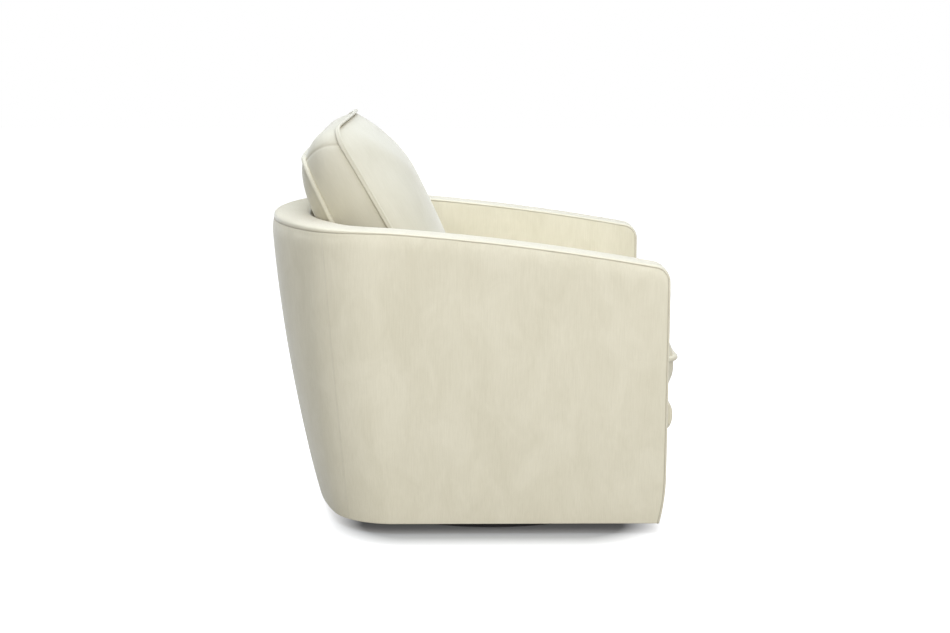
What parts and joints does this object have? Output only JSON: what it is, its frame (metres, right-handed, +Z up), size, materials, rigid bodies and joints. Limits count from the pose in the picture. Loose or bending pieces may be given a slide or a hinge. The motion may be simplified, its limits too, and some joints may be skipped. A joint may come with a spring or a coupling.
{
  "type": "swivel chair",
  "caption": "barrel swivel lounge chair in cream velvet, loose seat and back cushions, low round plinth",
  "frame": {"origin": "on the swivel axis at the floor", "axes": "+Z up along the swivel axis, the sitter faces -Y, +X is the sitter's left"},
  "size_m": [0.7916, 0.8782, 0.8641],
  "materials": {
    "velvet": "soft pile velvet",
    "foam": "wrapped foam",
    "felt": "pressed felt",
    "lining": "woven lining",
    "timber": "bare plywood",
    "plinth_black": "black stain",
    "bronze": "turned bronze",
    "cage_plastic": "moulded",
    "steel": "plated steel"
  },
  "bodies": {
    "base": {"floor_felt": "felt", "base_plinth": "plinth_black", "swivel_lower_plate": "steel", "plinth_screws": "steel", "king_pin": "steel", "pivot_bush": "bronze", "pivot_washer": "steel", "pivot_nut": "steel"},
    "ball_race": {"ball_cage": "cage_plastic", "bearing_balls": "steel"},
    "chair": {"swivel_upper_plate": "steel", "frame_bolts": "steel", "tee_nuts": "steel", "deck_board": "timber", "sill_left": "timber", "sill_right": "timber", "sill_back": "timber", "front_rail": "timber", "glue_blocks": "timber", "arm_post_left": "timber", "arm_post_right": "timber", "arm_rail_left": "timber", "arm_rail_right": "timber", "back_top_rail": "timber", "side_rail_left": "timber", "side_rail_right": "timber", "seat_back_rail": "timber", "back_ribs": "timber", "seat_springs": "steel", "spring_clips": "steel", "spring_insulator": "felt", "deck_cloth": "lining", "back_webbing": "lining", "dust_cover": "lining", "arm_band_left": "velvet", "arm_band_right": "velvet", "back_band": "velvet", "outside_arm_left": "velvet", "outside_arm_right": "velvet", "outside_back": "velvet", "inside_arm_left": "velvet", "inside_arm_right": "velvet", "inside_back": "velvet", "front_border": "velvet"},
    "seat_cushion": {"seat_cushion_cover": "velvet", "seat_cushion_core": "foam", "seat_cushion_welt_top": "velvet", "seat_cushion_welt_under": "velvet"},
    "back_cushion": {"back_cushion_cover": "velvet", "back_cushion_core": "foam", "back_cushion_welt_front": "velvet", "back_cushion_welt_rear": "velvet"}
  },
  "joints": [
    {"name": "swivel", "type": "hinge", "parent": "base", "child": "chair", "pos_m": [0, 0, 0], "axis": [0, 0, 1], "continuous": true},
    {"name": "race_turn", "type": "hinge", "parent": "base", "child": "ball_race", "pos_m": [0, 0, 0], "axis": [0, 0, 1], "continuous": true},
    {"name": "seat_cushion_draw", "type": "slide", "parent": "chair", "child": "seat_cushion", "axis": [0, -1, 0], "range_m": [0, 0.75]},
    {"name": "back_cushion_lift", "type": "slide", "parent": "chair", "child": "back_cushion", "axis": [0, 0, 1], "range_m": [0, 0.45]}
  ],
  "couplings": [
    {"joint": "race_turn", "follows": "swivel", "ratio": 0.5}
  ]
}
